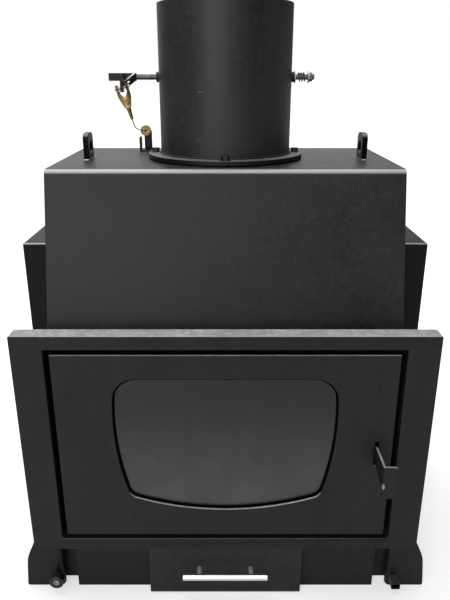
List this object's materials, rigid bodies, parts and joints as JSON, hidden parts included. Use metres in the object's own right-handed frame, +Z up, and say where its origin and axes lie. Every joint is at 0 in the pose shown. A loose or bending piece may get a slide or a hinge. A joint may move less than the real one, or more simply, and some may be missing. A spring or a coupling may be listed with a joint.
{
  "type": "boiler fireplace",
  "caption": "Steel boiler fireplace insert with an inset glazed door, lift latch, ash drawer, round flue with a cable-worked damper, side water jackets and lifting lugs.",
  "frame": {"origin": "on the floor, in the middle of the overall box", "axes": "+X to the right of someone who faces the door, +Y to the back, +Z up"},
  "size_m": [0.766, 0.578, 1.052],
  "materials": {
    "body_paint": "satin",
    "bare_steel": "plain",
    "stainless": "brushed",
    "brass": "dull",
    "window_glass": "polished",
    "sealing_rope": "woven",
    "gasket_board": "matte",
    "firebrick": "matte",
    "cast_iron": "rough",
    "black_plastic": "satin"
  },
  "bodies": {
    "stove": {"surround_frame": "body_paint", "front_plate": "body_paint", "casing_front_top": "body_paint", "casing_wrap": "body_paint", "firebox_floor": "body_paint", "firebox_wrap": "body_paint", "crown_plate": "body_paint", "fire_tubes": "body_paint", "tube_plate": "body_paint", "fire_bricks": "firebrick", "baffle_plate": "firebrick", "grate": "cast_iron", "side_jacket_left": "body_paint", "side_jacket_right": "body_paint", "skid_left": "body_paint", "skid_right": "body_paint", "ash_front": "body_paint", "ash_housing": "body_paint", "drawer_runners": "body_paint", "flange_gasket": "gasket_board", "flue_flange": "body_paint", "flange_bolts": "bare_steel", "flue_pipe": "body_paint", "damper_bushes": "body_paint", "lifting_lugs": "body_paint", "water_sockets": "body_paint", "hinge_brackets": "body_paint", "hinge_pins": "bare_steel", "cable_guide": "brass", "cable_bracket": "body_paint", "control_cable": "bare_steel", "cable_sheath": "black_plastic", "rod_guides": "body_paint"},
    "damper": {"damper_shaft": "bare_steel", "damper_disc": "body_paint", "damper_saddles": "body_paint", "damper_crank": "body_paint", "cable_fork": "brass", "fork_pin": "bare_steel", "friction_spring": "bare_steel", "spring_washers": "bare_steel", "shaft_nut": "bare_steel"},
    "door": {"door_panel": "body_paint", "door_back_frame": "body_paint", "door_rope_seal": "sealing_rope", "glass_gasket": "gasket_board", "door_glass": "window_glass", "glass_clips": "body_paint", "hinge_lugs": "body_paint", "latch_pivot": "body_paint"},
    "latch": {"latch_lever": "body_paint"},
    "drawer": {"drawer_front": "body_paint", "ash_pan": "body_paint", "handle_bar": "stainless", "handle_posts": "stainless"},
    "pull": {"pull_rod": "bare_steel", "pull_knob": "black_plastic", "knob_screw": "bare_steel"},
    "air": {"air_rod": "body_paint", "air_shutter": "body_paint"}
  },
  "joints": [
    {"name": "damper_turn", "type": "hinge", "parent": "stove", "child": "damper", "pos_m": [0, 0.104, 0.927], "axis": [1, 0, 0], "range_deg": [0, 90], "deforming": ["control_cable"]},
    {"name": "door_swing", "type": "hinge", "parent": "stove", "child": "door", "pos_m": [-0.2775, -0.216, 0.326], "axis": [0, 0, -1], "range_deg": [0, 95]},
    {"name": "latch_lift", "type": "hinge", "parent": "door", "child": "latch", "pos_m": [0.26, -0.217, 0.318], "axis": [-1, 0, 0], "range_deg": [0, 30]},
    {"name": "drawer_slide", "type": "slide", "parent": "stove", "child": "drawer", "axis": [0, -1, 0], "range_m": [0, 0.3]},
    {"name": "pull_slide", "type": "slide", "parent": "stove", "child": "pull", "axis": [0, -1, 0], "range_m": [0, 0.03]},
    {"name": "air_slide", "type": "slide", "parent": "stove", "child": "air", "axis": [0, -1, 0], "range_m": [0, 0.024]}
  ],
  "couplings": [
    {"joint": "pull_slide", "follows": "damper_turn", "m_per_rad": 0.019095}
  ]
}
